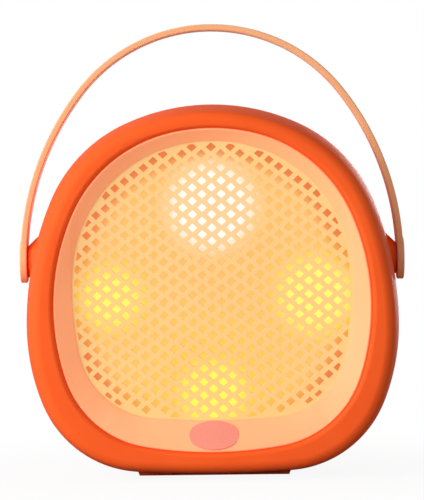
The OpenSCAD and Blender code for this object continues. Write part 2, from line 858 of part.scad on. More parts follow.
module handle_strap() {
    color(strap_colour) stand() difference() {
        union() {
            sweep(strap) strap_section();
            for (side = [0, 1]) mirror([side, 0, 0]) strap_pad();
        }
        pivot_bores(pin_r);
        for (side = [0, 1]) mirror([side, 0, 0])
            along_x(pad_face - pin_head_t, pivot, 0) cylinder(h = pin_head_t + 1, r = pin_head_r);
    }
}

module pivot_pins() {
    shoulder = clip_face - clip_t - fit_gap;
    color(steel) stand() for (side = [0, 1]) mirror([side, 0, 0]) {
        along_x(pad_face - pin_head_t, pivot, 0) cylinder(h = pin_head_t, r = pin_head_r);
        along_x(clip_face, pivot, 0) cylinder(h = pad_face - pin_head_t - clip_face, r = pin_r);
        along_x(shoulder, pivot, 0) cylinder(h = clip_face - shoulder, r = pin_neck_r);
        along_x(pin_end, pivot, 0) cylinder(h = shoulder - pin_end, r = pin_r);
    }
}

module pivot_clips() {
    color(steel) stand() for (side = [0, 1]) mirror([side, 0, 0])
        along_x(clip_face - clip_t, pivot, 0) linear_extrude(clip_t) difference() {
            circle(clip_r);
            circle(pin_neck_r);
            block([0, clip_r + 1], [-clip_mouth / 2, clip_mouth / 2]);
        }
}

module foot() {
    splay = 1.5;
    thick = 4;
    color(dark_orange) stand() difference() {
        slice(-foot_d / 2, foot_d / 2)
            polygon([
                [splay - foot_w / 2, 0], [foot_w / 2 - splay, 0],
                [foot_w / 2, thick], [-foot_w / 2, thick]
            ]);
        loft(side_rings(concat([seam - 1], front_levels)));
    }
}

front_shell();
rear_shell();
seam_gasket();
shell_screws();
bezel();
grille();
badge();
light_diffuser();
led_board();
led_chips();
driver_basket();
driver_magnet();
driver_cone();
driver_coil();
driver_surround();
driver_spider();
driver_screws();
battery_cell();
battery_cradle();
main_board();
board_screws();
usb_socket();
switch_bodies();
button_power();
button_minus();
button_plus();
button_light();
stem_power();
stem_minus();
stem_plus();
stem_light();
handle_strap();
pivot_pins();
pivot_clips();
foot();
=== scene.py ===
import json
import math

import bpy
from mathutils import Matrix, Vector

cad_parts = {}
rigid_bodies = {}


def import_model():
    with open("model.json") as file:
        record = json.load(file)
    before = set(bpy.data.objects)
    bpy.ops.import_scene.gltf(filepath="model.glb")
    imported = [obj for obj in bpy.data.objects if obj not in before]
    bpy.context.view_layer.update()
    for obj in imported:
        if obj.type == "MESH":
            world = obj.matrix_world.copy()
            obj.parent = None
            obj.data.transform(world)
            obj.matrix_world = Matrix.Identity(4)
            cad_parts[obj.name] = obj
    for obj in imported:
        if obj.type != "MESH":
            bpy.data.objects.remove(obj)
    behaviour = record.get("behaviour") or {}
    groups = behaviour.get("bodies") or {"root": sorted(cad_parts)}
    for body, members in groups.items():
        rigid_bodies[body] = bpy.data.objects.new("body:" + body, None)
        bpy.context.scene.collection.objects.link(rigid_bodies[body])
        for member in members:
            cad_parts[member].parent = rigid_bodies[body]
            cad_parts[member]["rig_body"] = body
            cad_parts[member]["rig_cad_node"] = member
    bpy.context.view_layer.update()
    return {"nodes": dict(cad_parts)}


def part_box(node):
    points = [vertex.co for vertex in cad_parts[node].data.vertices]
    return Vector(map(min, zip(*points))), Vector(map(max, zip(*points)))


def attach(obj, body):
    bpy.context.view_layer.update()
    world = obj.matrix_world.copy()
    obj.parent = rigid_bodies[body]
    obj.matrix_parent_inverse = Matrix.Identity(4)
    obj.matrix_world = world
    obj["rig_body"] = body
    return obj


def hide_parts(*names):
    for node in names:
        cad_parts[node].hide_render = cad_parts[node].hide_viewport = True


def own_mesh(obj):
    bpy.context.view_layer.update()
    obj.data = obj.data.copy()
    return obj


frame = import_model()
nodes = frame["nodes"]

# Front shell: the orange moulding with the rounded ring, the rolled lip and the side bosses.
# It is injection-moulded plastic with a fine satin grain, and everything else is fixed into it.


def linear(red, green, blue):
    """A colour written in 8-bit sRGB, as the shader wants it."""
    parts = [value / 255 for value in (red, green, blue)]
    return [p / 12.92 if p <= 0.04045 else ((p + 0.055) / 1.055) ** 2.4 for p in parts] + [1]


def new_group(name, inputs, outputs):
    """A shader node group with its sockets, and its two end nodes."""
    group = bpy.data.node_groups.new(name, "ShaderNodeTree")
    for label, kind in inputs:
        group.interface.new_socket(label, in_out="INPUT", socket_type="NodeSocket" + kind)
    for label, kind in outputs:
        group.interface.new_socket(label, in_out="OUTPUT", socket_type="NodeSocket" + kind)
    return group, group.nodes.new("NodeGroupInput"), group.nodes.new("NodeGroupOutput")


def add_node(tree, kind, sockets=(), **settings):
    """A node with its settings, and with each socket linked or given a value."""
    item = tree.nodes.new("ShaderNode" + kind)
    for key, value in settings.items():
        setattr(item, key, value)
    for socket, source in sockets:
        if isinstance(source, bpy.types.NodeSocket):
            tree.links.new(source, item.inputs[socket])
        else:
            item.inputs[socket].default_value = source
    return item


MIX_FACTOR, MIX_FIRST, MIX_SECOND, MIX_RESULT = 0, 6, 7, 2


def mix_colours(tree, factor, first, second):
    """The colour socket of a Mix node, whose colour sockets are found by number."""
    blend = add_node(tree, "Mix", [(MIX_FACTOR, factor), (MIX_FIRST, first), (MIX_SECOND, second)],
                     data_type="RGBA")
    return blend.outputs[MIX_RESULT]


# Moulded skin: a slow drift between two tones, and a fine grain that also varies the gloss
DRIFT_LOW, DRIFT_HIGH = 0.35, 0.65
GLOSS_SWING = 0.06
moulded_skin, enter, leave = new_group(
    "moulded_skin",
    [("Vector", "Vector"), ("Tone", "Color"), ("Deep tone", "Color"), ("Drift", "Float"),
     ("Grain", "Float"), ("Roughness", "Float")],
    [("Color", "Color"), ("Roughness", "Float"), ("Height", "Float")])
drift = add_node(moulded_skin, "TexNoise", [("Vector", enter.outputs["Vector"]),
                 ("Scale", enter.outputs["Drift"]), ("Detail", 3.0)])
drift_mask = add_node(moulded_skin, "MapRange", [("Value", drift.outputs["Fac"]),
                      ("From Min", DRIFT_LOW), ("From Max", DRIFT_HIGH)])
grain = add_node(moulded_skin, "TexNoise", [("Vector", enter.outputs["Vector"]),
                 ("Scale", enter.outputs["Grain"]), ("Detail", 2.0)])
gloss = add_node(moulded_skin, "MapRange", [("Value", grain.outputs["Fac"]),
                 ("To Min", -GLOSS_SWING), ("To Max", GLOSS_SWING)])
rough = add_node(moulded_skin, "Math", [(0, enter.outputs["Roughness"]),
                 (1, gloss.outputs["Result"])], operation="ADD")
moulded_skin.links.new(mix_colours(moulded_skin, drift_mask.outputs["Result"],
                       enter.outputs["Tone"], enter.outputs["Deep tone"]), leave.inputs["Color"])
moulded_skin.links.new(rough.outputs["Value"], leave.inputs["Roughness"])
moulded_skin.links.new(grain.outputs["Fac"], leave.inputs["Height"])


def skinned(name, tone, deep_tone, roughness, drift=45.0, grain=2400.0, depth=0.00002,
            metallic=0.0, specular=0.3):
    """A material on the moulded skin, with its shader, for plastics, rubbers and plain metals."""
    material = bpy.data.materials.new(name)
    material.use_nodes = True
    tree = material.node_tree
    place = add_node(tree, "TexCoord")
    skin = add_node(tree, "Group", node_tree=moulded_skin)
    tree.links.new(place.outputs["Object"], skin.inputs["Vector"])
    for socket, value in (("Tone", tone), ("Deep tone", deep_tone), ("Drift", drift),
                          ("Grain", grain), ("Roughness", roughness)):
        skin.inputs[socket].default_value = value
    bump = add_node(tree, "Bump", [("Height", skin.outputs["Height"]), ("Distance", depth),
                    ("Strength", 1.0)])
    shader = tree.nodes["Principled BSDF"]
    shader.inputs["Metallic"].default_value = metallic
    shader.inputs["Specular IOR Level"].default_value = specular
    tree.links.new(skin.outputs["Color"], shader.inputs["Base Color"])
    tree.links.new(skin.outputs["Roughness"], shader.inputs["Roughness"])
    tree.links.new(bump.outputs["Normal"], shader.inputs["Normal"])
    return material


def only(piece):
    """Selects one object and makes it the active one."""
    bpy.ops.object.select_all(action="DESELECT")
    piece.select_set(True)
    bpy.context.view_layer.objects.active = piece


def weigh_normals(piece):
    """Lets the large faces lead the shading, which keeps the flats flat."""
    bpy.ops.object.modifier_add(type="WEIGHTED_NORMAL")
    piece.modifiers[-1].keep_sharp = True
    bpy.ops.object.modifier_apply(modifier=piece.modifiers[-1].name)


def kept(piece, body, material, slot, *replaced):
    """Gives a finished piece its material and body, and hides the nodes that it stands for. The
    slot is not used.
    """
    piece.data.materials.clear()
    piece.data.materials.append(material)
    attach(piece, body)
    if replaced:
        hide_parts(*replaced)
    return piece


QUAD_BEND, QUAD_SKEW = math.radians(14), math.radians(60)
SHORT_EDGE = 0.001
SAME_PLACE = 0.00001
SPLIT_GAP = 0.0004


def fuller_curves(skin, crease, cuts):
    """Gives a skin's long curved edges finer steps, so that its outline shows no facets."""
    bpy.ops.mesh.select_mode(type="FACE")
    bpy.ops.mesh.select_all(action="SELECT")
    bpy.ops.mesh.tris_convert_to_quads(face_threshold=QUAD_BEND, shape_threshold=QUAD_SKEW)
    bpy.ops.mesh.select_all(action="DESELECT")
    bpy.ops.mesh.select_mode(type="EDGE")
    bpy.ops.mesh.edges_select_sharp(sharpness=crease)
    bpy.ops.mesh.edge_split(type="EDGE")
    bpy.ops.mesh.select_all(action="DESELECT")
    bpy.ops.object.mode_set(mode="OBJECT")
    points = skin.data.vertices
    for edge in skin.data.edges:
        start, end = (points[v].co for v in edge.vertices)
        edge.select = (start - end).length > SHORT_EDGE
    bpy.ops.object.mode_set(mode="EDIT")
    bpy.ops.mesh.subdivide(number_cuts=cuts, smoothness=1.0)
    bpy.ops.mesh.select_mode(type="VERT")
    for gap in (SAME_PLACE, SPLIT_GAP):
        bpy.ops.mesh.select_all(action="DESELECT")
        bpy.ops.mesh.select_non_manifold(extend=False, use_wire=False, use_multi_face=False,
                                         use_non_contiguous=False, use_verts=False)
        bpy.ops.mesh.remove_doubles(threshold=gap)


CREASE, SOFT_CREASE = math.radians(30), math.radians(40)
FLAT_WITHIN, COPLANAR = math.radians(0.8), math.radians(0.05)
WELD = 0.000002


def dressed(node, body, material, slot, crease=CREASE, finish=None, mend=None, cuts=0):
    """A merged, smooth-shaded skin over a CAD node, which stands for that node on its body."""
    only(nodes[node])
    bpy.ops.object.duplicate()
    skin = bpy.context.active_object
    skin.name = node + "_skin"
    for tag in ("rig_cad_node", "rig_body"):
        del skin[tag]
    skin.parent = None
    bpy.ops.mesh.customdata_custom_splitnormals_clear()
    bpy.ops.object.mode_set(mode="EDIT")
    bpy.ops.mesh.select_all(action="SELECT")
    bpy.ops.mesh.remove_doubles(threshold=WELD)
    if mend:
        mend(skin)
    bpy.ops.mesh.dissolve_limited(angle_limit=COPLANAR if cuts else FLAT_WITHIN)
    if cuts:
        fuller_curves(skin, crease, cuts)
    if finish:
        finish(skin)
    bpy.ops.object.mode_set(mode="OBJECT")
    bpy.ops.object.shade_smooth_by_angle(angle=crease)
    weigh_normals(skin)
    return kept(skin, body, material, slot, node)


SHELL_WALL = 0.0025
NARROW_ABOVE = 0.133
NEXT_STEP = 0.0002


def mend_band(shell):
    """Takes out the middle points of the ring's flat where it is narrowest, over the opening."""
    bpy.ops.mesh.select_all(action="DESELECT")
    bpy.ops.object.mode_set(mode="OBJECT")
    points = shell.data.vertices
    crest = min(point.co.y for point in points)
    for edge in shell.data.edges:
        for one, other in (edge.vertices, reversed(edge.vertices)):
            here, step = points[one].co, points[other].co - points[one].co
            for level, inward in ((crest, 1), (crest + SHELL_WALL, -1)):
                on_flat = abs(here.y - level) < SAME_PLACE and here.z > NARROW_ABOVE
                if on_flat and SAME_PLACE < step.y < NEXT_STEP and inward * step.z < 0:
                    points[one].select = True
    bpy.ops.object.mode_set(mode="EDIT")
    bpy.ops.mesh.dissolve_verts()
    bpy.ops.mesh.select_all(action="SELECT")
    bpy.ops.mesh.quads_convert_to_tris(quad_method="SHORTEST_DIAGONAL", ngon_method="BEAUTY")


OUTLINE_CUTS = 2
orange = skinned("orange_satin", linear(254, 98, 39), linear(252, 94, 36), 0.6, specular=0.06)
dressed("front_shell", "housing", orange, "orange_shell", crease=SOFT_CREASE, mend=mend_band,
        cuts=OUTLINE_CUTS)

# Loudspeaker driver: a pressed paper cone in a black basket, with a cloth spider, a rubber roll
# and a plated magnet. It screws to the front shell's inner wall, behind the light sheet.


def painted(material, *names):
    """Puts a material on CAD nodes that stay as they are."""
    for name in names:
        nodes[name].data.materials.clear()
        nodes[name].data.materials.append(material)


METAL_GRAIN, FIBRE_GRAIN = 0.000003, 0.0001
black = skinned("black_resin", linear(38, 38, 41), linear(31, 31, 34), 0.55)
soft_black = skinned("soft_rubber", linear(44, 44, 47), linear(37, 37, 40), 0.78, grain=1500.0)
plated = skinned("plated_iron", linear(150, 152, 156), linear(128, 130, 134), 0.35,
                 depth=METAL_GRAIN, metallic=1.0)
steel = skinned("plain_steel", linear(190, 192, 196), linear(172, 174, 178), 0.3,
                depth=METAL_GRAIN, metallic=1.0)
paper = skinned("pressed_paper", linear(74, 52, 40), linear(60, 42, 33), 0.85, drift=300.0,
                grain=1200.0, depth=FIBRE_GRAIN)
cloth = skinned("stiffened_cloth", linear(201, 162, 74), linear(184, 146, 62), 0.9, drift=400.0,
                grain=1800.0, depth=FIBRE_GRAIN)
copper = skinned("enamelled_wire", linear(190, 112, 60), linear(168, 94, 48), 0.3,
                 depth=METAL_GRAIN, metallic=1.0)
painted(black, "driver_basket")
painted(plated, "driver_magnet")
painted(steel, "driver_screws")
painted(paper, "driver_cone")
painted(cloth, "driver_spider")
painted(copper, "driver_coil")

roll = dressed("driver_surround", "housing", soft_black, "seal")
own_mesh(roll)

# Light sheet: a milky plastic sheet that lies behind the lattice and spreads the four lights,
# whose glow is painted on it as emission. The upper light is white and the other three are
# yellow, and the rim gets a painted shade of deeper orange where the glow fades.

CHIP_HALF = 0.0025
chips_low, chips_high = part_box("led_chips")
chips_middle = (chips_low + chips_high) / 2
chips_reach = (chips_high - chips_low) / 2 - Vector((CHIP_HALF, 0, CHIP_HALF))

# Each glow: its place in units of the lights' reach, its colour, the radius of its full core,
# the radius where it ends, and its strength
WARM, CREAM, WHITE = linear(249, 205, 84), linear(255, 228, 190), linear(255, 254, 246)
GLOWS = (
    ((-1, 0.03), WARM, 0.008, 0.026, 0.7),
    ((1, 0.04), WARM, 0.010, 0.030, 0.7),
    ((0, -1), WARM, 0.012, 0.048, 0.9),
    ((0, 1), CREAM, 0.012, 0.024, 0.8),
    ((0, 1), WHITE, 0.0105, 0.0210, 1.0),
    ((-1, 0.03), linear(255, 248, 104), 0.0050, 0.0170, 1.0),
    ((1.02, 0.04), linear(255, 249, 118), 0.0085, 0.0200, 1.0),
    ((0, -1), linear(255, 248, 92), 0.0075, 0.0175, 1.0),
)
glow_field, enter, leave = new_group(
    "glow_field", [("Vector", "Vector"), ("Color", "Color")], [("Color", "Color")])
flat = add_node(glow_field, "VectorMath", [(0, enter.outputs["Vector"]), (1, (1, 0, 1))],
                operation="MULTIPLY")
shade = enter.outputs["Color"]
for (across, up), tone, core, edge, strength in GLOWS:
    centre = (across * chips_reach.x, 0.0, chips_middle.z + up * chips_reach.z)
    gap = add_node(glow_field, "VectorMath", [(0, flat.outputs["Vector"]), (1, centre)],
                   operation="DISTANCE")
    mask = add_node(glow_field, "MapRange", [("Value", gap.outputs["Value"]), ("From Min", core),
                    ("From Max", edge), ("To Min", strength), ("To Max", 0.0)],
                    interpolation_type="SMOOTHSTEP").outputs["Result"]
    shade = mix_colours(glow_field, mask, shade, tone)
glow_field.links.new(shade, leave.inputs["Color"])

RIM_BAND = 0.013
RIM_STARTS, RIM_FULL = 0.1, 0.75
TO_THE_FRONT = -0.9


def mark_rim(sheet):
    """Insets the front face and marks the rim, where the painted shade follows the outline."""
    bpy.ops.mesh.select_all(action="DESELECT")
    bpy.ops.object.mode_set(mode="OBJECT")
    for face in sheet.data.polygons:
        face.select = face.normal.y < TO_THE_FRONT
    bpy.ops.object.mode_set(mode="EDIT")
    bpy.ops.mesh.inset(thickness=RIM_BAND)
    bpy.ops.object.mode_set(mode="OBJECT")
    rim = sheet.data.attributes.new("rim", "FLOAT", "POINT")
    for vertex in sheet.data.vertices:
        rim.data[vertex.index].value = 0.0 if vertex.select else 1.0
    bpy.ops.object.mode_set(mode="EDIT")


# The sheet's lit middle, and its rim's painted shade of deeper orange where the glow fades
SHEET_LIT, RIM_PAINTED_SHADE = linear(248, 192, 108), linear(231, 122, 66)
milky = skinned("milky_sheet", linear(60, 36, 22), linear(56, 33, 20), 0.5)
tree = milky.node_tree
field = add_node(tree, "Group", node_tree=glow_field)
place = add_node(tree, "TexCoord")
rim_mark = add_node(tree, "Attribute", attribute_name="rim")
rim_shade = add_node(tree, "MapRange", [("Value", rim_mark.outputs["Fac"]),
                     ("From Min", RIM_STARTS), ("From Max", RIM_FULL)],
                     interpolation_type="SMOOTHSTEP")
tree.links.new(mix_colours(tree, rim_shade.outputs["Result"], SHEET_LIT, RIM_PAINTED_SHADE),
               field.inputs["Color"])
tree.links.new(place.outputs["Object"], field.inputs["Vector"])
milky_shader = tree.nodes["Principled BSDF"]
# The lights' glow is painted on the sheet as emission.
tree.links.new(field.outputs["Color"], milky_shader.inputs["Emission Color"])
milky_shader.inputs["Emission Strength"].default_value = 1.0
dressed("light_diffuser", "housing", milky, "milky_sheet", finish=mark_rim)

# Light board: a white ring-shaped board round the driver, with one chip behind each glow.
# The chips are yellow phosphor under clear resin, soldered to the board.

white_board = skinned("white_resist", linear(236, 236, 232), linear(228, 228, 224), 0.4)
phosphor = skinned("phosphor_resin", linear(255, 240, 190), linear(250, 228, 160), 0.15)
painted(white_board, "led_board")
painted(phosphor, "led_chips")

# Lattice grille: a thin moulded plate with rows of diamond holes, held behind the bezel's edge.
# The light that its plastic lets through is a painted glow, emission that is more yellow over the
# lights.

HOLE_WIDE, HOLE_HIGH = 0.0041, 0.0038
HOLE_SIDE = math.hypot(HOLE_WIDE / 2, HOLE_HIGH / 2)
HOLE_CREASE = math.radians(60)
HOLE_TAPER = 0.9
BAR_ROUND = 0.0004
ROUND_SEGMENTS = 3
FRONT_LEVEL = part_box("grille")[0].y


def round_bars(lattice):
    """Tapers the whole holes to the back, and rounds their front edges, which catch the light."""
    bpy.ops.mesh.select_all(action="DESELECT")
    bpy.ops.mesh.select_mode(type="EDGE")
    bpy.ops.mesh.edges_select_sharp(sharpness=HOLE_CREASE)
    bpy.ops.object.mode_set(mode="OBJECT")
    points = lattice.data.vertices
    beside = {}
    for edge in lattice.data.edges:
        start, end = (points[v].co for v in edge.vertices)
        level = abs(start.y - end.y) < SAME_PLACE
        hole_edge = edge.select and level and abs((start - end).length - HOLE_SIDE) < SAME_PLACE
        edge.select = hole_edge and start.y < FRONT_LEVEL + SAME_PLACE
        if hole_edge and not edge.select:
            for one, other in (edge.vertices, reversed(edge.vertices)):
                beside.setdefault(one, []).append(points[other].co.copy())
    for corner, ends in beside.items():
        if len(ends) == 2:
            middle = (ends[0] + ends[1]) / 2
            points[corner].co = middle + HOLE_TAPER * (points[corner].co - middle)
    bpy.ops.object.mode_set(mode="EDIT")
    bpy.ops.mesh.bevel(offset=BAR_ROUND, segments=ROUND_SEGMENTS, affect="EDGES",
                       clamp_overlap=True)


LIT_PEACH = linear(254, 210, 140)
LIT_SHARE = 0.3
LATTICE_GLOW = 0.42
peach_lattice = skinned("peach_lattice", linear(210, 165, 108), linear(207, 161, 104), 0.5,
                        specular=0.15)
tree = peach_lattice.node_tree
field = add_node(tree, "Group", node_tree=glow_field)
place = add_node(tree, "TexCoord")
tree.links.new(place.outputs["Object"], field.inputs["Vector"])
field.inputs["Color"].default_value = LIT_PEACH
lattice_shader = tree.nodes["Principled BSDF"]
# Painted glow: emission in the lit peach, more yellow over the lights
tree.links.new(mix_colours(tree, LIT_SHARE, LIT_PEACH, field.outputs["Color"]),
               lattice_shader.inputs["Emission Color"])
lattice_shader.inputs["Emission Strength"].default_value = LATTICE_GLOW
dressed("grille", "housing", peach_lattice, "peach_lattice", finish=round_bars)

# Bezel: a peach ring that dishes inwards from the shell's lip to the lattice.
# It is the same satin plastic in a paler colour, and its skirt holds the lattice and the sheet.
# It has a painted glow, emission that lifts its shaded parts, as if the lights behind it lit it a
# little.

BEZEL_GLOW = 0.3
peach = skinned("peach_satin", linear(254, 174, 122), linear(252, 170, 118), 0.45, specular=0.1)
# Painted glow, as emission over the whole bezel
peach_shader = peach.node_tree.nodes["Principled BSDF"]
peach_shader.inputs["Emission Color"].default_value = linear(255, 150, 110)
peach_shader.inputs["Emission Strength"].default_value = BEZEL_GLOW
dressed("bezel", "housing", peach, "peach_bezel", crease=SOFT_CREASE, cuts=OUTLINE_CUTS)

# Badge: a small oval plate on the lower bezel, pink and bare.
# It is a glossier moulding, glued in place, with a rounded edge.

BADGE_CREASE = math.radians(50)
BADGE_ROUND = 0.0003


def soften_rim(plate):
    """Rounds the plate's sharp edges."""
    bpy.ops.mesh.select_all(action="DESELECT")
    bpy.ops.mesh.select_mode(type="EDGE")
    bpy.ops.mesh.edges_select_sharp(sharpness=BADGE_CREASE)
    bpy.ops.mesh.bevel(offset=BADGE_ROUND, segments=ROUND_SEGMENTS, affect="EDGES",
                       clamp_overlap=True)


pink = skinned("pink_gloss", linear(250, 150, 128), linear(247, 145, 123), 0.28)
dressed("badge", "housing", pink, "badge_pink", crease=SOFT_CREASE, finish=soften_rim)

# Battery, control board and switches: one sleeved cell in a tray, and a green board on posts of
# the rear shell, with four small push switches and the charging socket soldered to it.

sleeve = skinned("cell_sleeve", linear(62, 126, 180), linear(56, 116, 168), 0.35)
green = skinned("green_resist", linear(44, 104, 68), linear(38, 94, 60), 0.4, drift=250.0)
painted(sleeve, "battery_cell")
painted(black, "battery_cradle", "switch_bodies")
painted(green, "main_board")
painted(steel, "board_screws")
dressed("usb_socket", "housing", steel, "steel")

# Rear shell: the orange rear cover with its round edge, fixed by six screws in deep holes.
# A dark seal fills the seam between the two shells.

painted(soft_black, "seam_gasket")
dressed("rear_shell", "housing", orange, "orange_shell", crease=SOFT_CREASE, cuts=OUTLINE_CUTS)


def combined(piece, other, operation):
    """Joins another solid to a piece or cuts it out, and removes that solid."""
    only(piece)
    bpy.ops.object.modifier_add(type="BOOLEAN")
    piece.modifiers[-1].operation = operation
    piece.modifiers[-1].object = other
    bpy.ops.object.modifier_apply(modifier=piece.modifiers[-1].name)
    bpy.data.objects.remove(other)


def joined(pieces, name):
    """One object made of several, with its place in its mesh."""
    bpy.ops.object.select_all(action="DESELECT")
    for piece in pieces:
        piece.select_set(True)
    bpy.context.view_layer.objects.active = pieces[0]
    bpy.ops.object.join()
    bpy.ops.object.transform_apply(location=True, rotation=True, scale=True)
    bpy.context.active_object.name = name
    return bpy.context.active_object


DRIVE_LONG, DRIVE_WIDE, DRIVE_DEEP = 0.0036, 0.0008, 0.0024
HEAD_APART = 0.008


def cross_drives(screws):
    """Cuts a cross drive into each screw's head."""
    bpy.ops.object.mode_set(mode="OBJECT")
    level = max(vertex.co.y for vertex in screws.data.vertices)
    heads = []
    for vertex in screws.data.vertices:
        if vertex.co.y > level - SAME_PLACE:
            near = [head for head in heads if (head[0] - vertex.co).length < HEAD_APART]
            if near:
                near[0].append(vertex.co.copy())
            else:
                heads.append([vertex.co.copy()])
    bars = []
    for head in heads:
        middle = sum(head, Vector()) / len(head)
        for size in ((DRIVE_LONG, DRIVE_DEEP, DRIVE_WIDE), (DRIVE_WIDE, DRIVE_DEEP, DRIVE_LONG)):
            bpy.ops.mesh.primitive_cube_add(size=1, location=middle, scale=size)
            bars.append(bpy.context.active_object)
    for group in (bars[0::2], bars[1::2]):
        cutter = joined(group, "drive_cutter")
        combined(screws, cutter, "DIFFERENCE")
    bpy.ops.object.mode_set(mode="EDIT")


dressed("shell_screws", "housing", steel, "steel", finish=cross_drives)

# Rear keys: four round soft-touch buttons in a row, each on a white switch stem.
# Their raised signs are moulded with them.

SIGN_PROUD = 0.0003
SIGN_ROUND, SIGN_SEGMENTS = SIGN_PROUD / 2, 2
SIGN_BAR = 0.0008
SIGN_REACH = 0.0046
RING_RADIUS, RING_GAP, RING_STEPS = 0.0021, math.radians(70), 30
BAR_RISE = 0.75 * RING_RADIUS
SUN_RADIUS, SUN_SIDES, SUN_CREASE = 0.0010, 32, math.radians(60)
RAYS, RAY_PLACE, RAY_LONG, RAY_WIDE = 8, 0.0020, 0.0009, 0.6 * SIGN_BAR


def rounded_bar(middle, wide, high, turn=0.0):
    """A raised bar of a sign, with its edges rounded."""
    bpy.ops.mesh.primitive_cube_add(size=1, location=middle, rotation=(0, turn, 0),
                                    scale=(wide, 2 * SIGN_PROUD, high))
    bpy.ops.object.transform_apply(location=True, rotation=True, scale=True)
    bpy.ops.object.mode_set(mode="EDIT")
    bpy.ops.mesh.bevel(offset=SIGN_ROUND, segments=SIGN_SEGMENTS, affect="EDGES")
    bpy.ops.object.mode_set(mode="OBJECT")
    return bpy.context.active_object


def open_ring(middle):
    """A raised ring that is open at the top."""
    start = RING_GAP / 2
    outward = Vector((math.sin(start), 0, math.cos(start)))
    bpy.ops.mesh.primitive_plane_add(size=1, location=middle + RING_RADIUS * outward,
                                     rotation=(0, start - math.pi / 2, 0))
    bpy.context.active_object.scale = (SIGN_BAR, 2 * SIGN_PROUD, 1)
    bpy.ops.object.transform_apply(location=True, rotation=True, scale=True)
    bpy.ops.object.mode_set(mode="EDIT")
    bpy.ops.mesh.select_all(action="SELECT")
    bpy.ops.mesh.spin(steps=RING_STEPS, angle=2 * math.pi - RING_GAP, center=middle,
                      axis=(0, -1, 0))
    bpy.ops.mesh.select_all(action="SELECT")
    bpy.ops.mesh.normals_make_consistent(inside=False)
    bpy.ops.object.mode_set(mode="OBJECT")
    return bpy.context.active_object


def rounded_disc(middle):
    """A raised disc with a rounded edge."""
    bpy.ops.mesh.primitive_cylinder_add(vertices=SUN_SIDES, radius=SUN_RADIUS,
                                        depth=2 * SIGN_PROUD, location=middle,
                                        rotation=(math.pi / 2, 0, 0))
    bpy.ops.object.transform_apply(location=True, rotation=True, scale=True)
    bpy.ops.object.mode_set(mode="EDIT")
    bpy.ops.mesh.select_mode(type="EDGE")
    bpy.ops.mesh.select_all(action="DESELECT")
    bpy.ops.mesh.edges_select_sharp(sharpness=SUN_CREASE)
    bpy.ops.mesh.bevel(offset=SIGN_ROUND, segments=SIGN_SEGMENTS, affect="EDGES")
    bpy.ops.object.mode_set(mode="OBJECT")
    return bpy.context.active_object


def sign_pieces(key, middle):
    """The raised pieces of one key's sign."""
    if key == "minus":
        return [rounded_bar(middle, SIGN_REACH, SIGN_BAR)]
    if key == "plus":
        level_bar = rounded_bar(middle, SIGN_REACH, SIGN_BAR)
        combined(level_bar, rounded_bar(middle, SIGN_BAR, SIGN_REACH), "UNION")
        return [level_bar]
    if key == "power":
        upper = middle + Vector((0, 0, BAR_RISE))
        return [open_ring(middle), rounded_bar(upper, SIGN_BAR, SIGN_REACH / 2)]
    pieces = [rounded_disc(middle)]
    for number in range(RAYS):
        turn = 2 * math.pi * number / RAYS
        place = middle + RAY_PLACE * Vector((math.sin(turn), 0, math.cos(turn)))
        pieces.append(rounded_bar(place, RAY_WIDE, RAY_LONG, turn))
    return pieces


white = skinned("white_resin", linear(238, 238, 235), linear(232, 232, 229), 0.4)
key_orange = skinned("key_orange", linear(205, 74, 34), linear(198, 70, 31), 0.6, specular=0.15)
sign_cream = skinned("sign_cream", linear(252, 214, 170), linear(248, 208, 162), 0.5)
for key in ("power", "minus", "plus", "light"):
    painted(white, "stem_" + key)
    dressed("button_" + key, key + "_key", key_orange, "button_orange")
    low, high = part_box("button_" + key)
    face = Vector(((low.x + high.x) / 2, high.y, (low.z + high.z) / 2))
    sign = joined(sign_pieces(key, face), "sign_" + key)
    bpy.ops.object.shade_smooth_by_angle(angle=CREASE)
    kept(sign, key + "_key", sign_cream, "button_orange")

# Carry strap: one flat arch of peach soft-touch rubber that swings on two steel pins.
# The pins' flush heads sit in the strap's ends, and clips hold them inside the housing.

STRAP_THICK, STRAP_WIDE, STRAP_ROUND, STRAP_GRAIN = 0.0025, 0.014, 0.0006, 0.000003
CROWN_RADIUS = 0.0675
CROWN_STEPS, FLANK_STEPS = 80, 24
PAD_PROUD, PAD_THICK = 0.00025, 0.00285
PAD_CREASE = math.radians(60)
PIN_HEAD_THICK = 0.0012
ROUND_STEPS, PAD_SIDES = 5, 72
strap_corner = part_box("handle_strap")[1]
pins_low, pins_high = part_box("pivot_pins")
pivot = (pins_low.z + pins_high.z) / 2
strap_half = strap_corner.x - PAD_PROUD
crown = strap_corner.z - CROWN_RADIUS
flank_radius = ((strap_half ** 2 + (crown - pivot) ** 2 - CROWN_RADIUS ** 2)
                / (2 * (strap_half - CROWN_RADIUS)))
flank_turn = math.asin((crown - pivot) / (flank_radius - CROWN_RADIUS))
ARCH_ARCS = (
    (strap_half - flank_radius, pivot, flank_turn, FLANK_STEPS),
    (0.0, crown, math.pi - 2 * flank_turn, CROWN_STEPS),
    (flank_radius - strap_half, pivot, flank_turn, FLANK_STEPS),
)


def side_disc(side, face, thick, radius):
    """A round solid across the pivot, with its outer face at a given distance."""
    bpy.ops.object.select_all(action="DESELECT")
    bpy.ops.mesh.primitive_cylinder_add(vertices=PAD_SIDES, radius=radius, depth=thick,
                                        location=(side * (face - thick / 2), 0, pivot),
                                        rotation=(0, math.pi / 2, 0))
    bpy.ops.object.transform_apply(location=True, rotation=True, scale=True)
    return bpy.context.active_object


